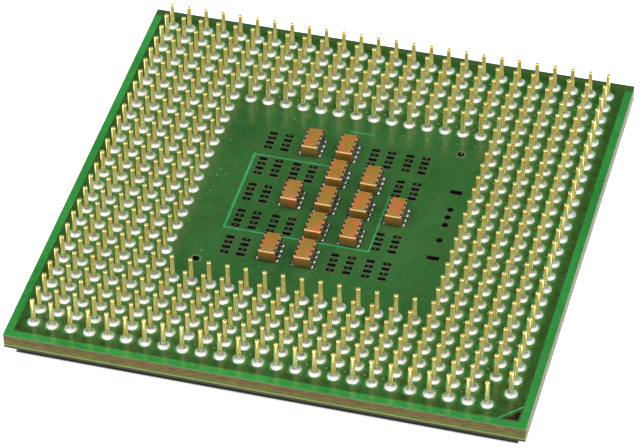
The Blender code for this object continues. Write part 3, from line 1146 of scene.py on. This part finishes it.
def build_die():
    middle = (die_low + die_high) / 2
    half = (die_high - die_low) / 2

    def ring(by, z, chips=0.0):
        steps = 60
        along = np.linspace(-1, 1, steps, endpoint=False)
        flat = np.ones(steps)
        outline = np.concatenate(
            [
                np.column_stack([along, -flat]),
                np.column_stack([flat, along]),
                np.column_stack([-along, flat]),
                np.column_stack([-flat, -along]),
            ]
        )
        depth = by + np.abs(random.normal(0, 1, len(outline))) * chips
        return with_height(outline * (half[:2] - depth[:, None]) + middle[:2], z)

    shape = Shape()
    shape.add_rings(
        [
            ring(0.020, die_low[2], 0.004),
            ring(0.006, die_low[2] + 0.010, 0.003),
            ring(0.0, die_low[2] + 0.030, 0.001),
            ring(0.0, die_high[2] - 0.02),
            ring(0.004, die_high[2]),
        ]
    )
    piece("die", shape.mesh("die", [SILICON]), ["silicon_die"], 25)

    low, high = box_of("underfill")
    reach = high[0] - die_high[0]
    climb = high[2] - low[2]
    shape = Shape()
    rings = []

    def around(by, z, wave=0.0):
        outline = rounded(middle[0], middle[1], half[0] + by, half[1] + by, max(by, 0.02), 12)
        return with_height(outline + random.normal(0, wave, outline.shape) if wave else outline, z)

    rings.append(around(0.012, high[2]))
    rings.append(around(0.012, low[2] + 0.03))
    rings.append(around(0.030, low[2]))
    for share in (0.06, 0.14, 0.25, 0.38, 0.52, 0.68, 0.84, 0.95):
        drop = 0.012 + (climb - 0.012) * (1 - share) ** 2.2
        rings.append(around(0.030 + (reach - 0.035) * share, high[2] - drop, 0.002))
    rings.append(around(reach - 0.003, high[2] - 0.010, 0.001))
    rings.append(around(reach - 0.003, high[2]))
    shape.add_rings(rings, looped=True)
    piece("underfill_fillet", shape.mesh("underfill", [RESIN]), ["underfill"], 50)


def finish_carried_nodes():
    """The CAD nodes that stay in place: the copper sheets inside the board and the layer of bumps."""
    carried = {
        COPPER: (
            "ground_plane_die_side",
            "inner_plane_die_side",
            "inner_plane_pin_side",
            "ground_plane_pin_side",
            "power_island_pin_side",
        ),
        BUMP_SOLDER: ("solder_bump_layer",),
    }
    for look, names in carried.items():
        for name in names:
            for material_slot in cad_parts[name].material_slots:
                material_slot.material = look


# Surroundings


def from_angles(azimuth, elevation):
    """The direction from the board at these angles in degrees. Azimuth 0 is -Y and 90 is +X."""
    a = math.radians(azimuth)
    e = math.radians(elevation)
    return Vector((math.sin(a) * math.cos(e), -math.cos(a) * math.cos(e), math.sin(e)))


def build_floor():
    """Pale paper with a painted shadow, nearly black under the board, and a painted glow a little outside the
    board's outline.
    """
    half = 1.6
    level = -0.02 * MM
    corners = [(-half, -half, level), (half, -half, level), (half, half, level), (-half, half, level)]
    mesh = bpy.data.meshes.new("floor")
    mesh.from_pydata(corners, [], [(0, 1, 2, 3)])
    made, tree, shader = new_look("pale_paper_painted_shadow_and_glow", 0.75, ior=1.02)
    tone = noise(tree, stretched(tree), 3.0, 3.0)
    paper = ramp(tree, tone, ((0.3, (0.90, 0.90, 0.90)), (0.7, (0.93, 0.93, 0.93))))
    # Painted shadow: the paper turns nearly black under the board.
    painted_shadow = spread(tree, reach_from_middle(tree), 0.93, 0.0, *[HALF - by for by in SHADE_ENDS])
    tree.links.new(mixed(tree, painted_shadow, paper, (0.012, 0.014, 0.006)), shader.inputs["Base Color"])
    # Painted glow: the paper gives off light outside the board's outline, though it is no lamp.
    shader.inputs["Emission Color"].default_value = (1.0, 1.0, 1.0, 1.0)
    lit = spread(tree, reach_from_middle(tree), 0.0, FLOOR_GLOW, *[HALF - by for by in GLOW_STARTS])
    tree.links.new(lit, shader.inputs["Emission Strength"])
    mesh.materials.append(made)
    floor = bpy.data.objects.new("floor", mesh)
    bpy.context.scene.collection.objects.link(floor)


def add_softbox(name, at, aim, size_x, size_y, power):
    data = bpy.data.lights.new(name, "AREA")
    data.shape = "RECTANGLE"
    data.size = size_x
    data.size_y = size_y
    data.energy = power
    lamp = bpy.data.objects.new(name, data)
    lamp.location = at
    lamp.rotation_euler = (Vector(aim) - Vector(at)).to_track_quat("-Z", "Y").to_euler()
    bpy.context.scene.collection.objects.link(lamp)


def light_scene():
    """A pale tent all round with one dark opening behind the board, and a softbox over it."""
    world = bpy.data.worlds.new("studio")
    world.use_nodes = True
    tree = world.node_tree
    direction = tree.nodes.new("ShaderNodeTexCoord")
    closeness = tree.nodes.new("ShaderNodeVectorMath")
    closeness.operation = "DOT_PRODUCT"
    closeness.inputs[1].default_value = from_angles(VIEW_AZIMUTH + 180, OPENING_ELEVATION)
    tree.links.new(direction.outputs["Generated"], closeness.inputs[0])
    start = math.cos(math.radians(OPENING_REACH + OPENING_EDGE))
    end = math.cos(math.radians(OPENING_REACH))
    strength = spread(tree, closeness.outputs["Value"], TENT_STRENGTH, OPENING_STRENGTH, start, end)
    tree.links.new(strength, tree.nodes["Background"].inputs["Strength"])
    tree.nodes["Background"].inputs["Color"].default_value = (1.0, 1.0, 1.0, 1.0)
    bpy.context.scene.world = world
    bpy.context.scene.view_settings.view_transform = "Standard"
    add_softbox("overhead", (-0.10, -0.18, 0.45), (-0.10, -0.18, 0.0), 1.3, 0.86, 4.4)


def place_camera():
    """Looks down at the front edge, turned towards the keyed corner."""
    roll = math.radians(VIEW_ROLL)
    aim = Vector((CENTRE[0] + VIEW_AIM[0], CENTRE[1] + VIEW_AIM[1], SEAT)) * MM
    back = from_angles(VIEW_AZIMUTH, VIEW_ELEVATION)
    data = bpy.data.cameras.new("camera")
    data.sensor_width = 36.0
    data.lens = VIEW_LENS
    data.clip_start = 0.01
    data.clip_end = 10.0
    camera = bpy.data.objects.new("camera", data)
    turn = (-back).to_track_quat("-Z", "Y").to_matrix().to_4x4() @ Matrix.Rotation(roll, 4, "Z")
    camera.matrix_world = Matrix.Translation(aim + back * VIEW_DISTANCE) @ turn
    bpy.context.scene.collection.objects.link(camera)
    bpy.context.scene.camera = camera


build_laminate()
build_mask()
build_pins()
build_pads()
build_capacitors()
build_die()
finish_carried_nodes()
build_floor()
light_scene()
place_camera()
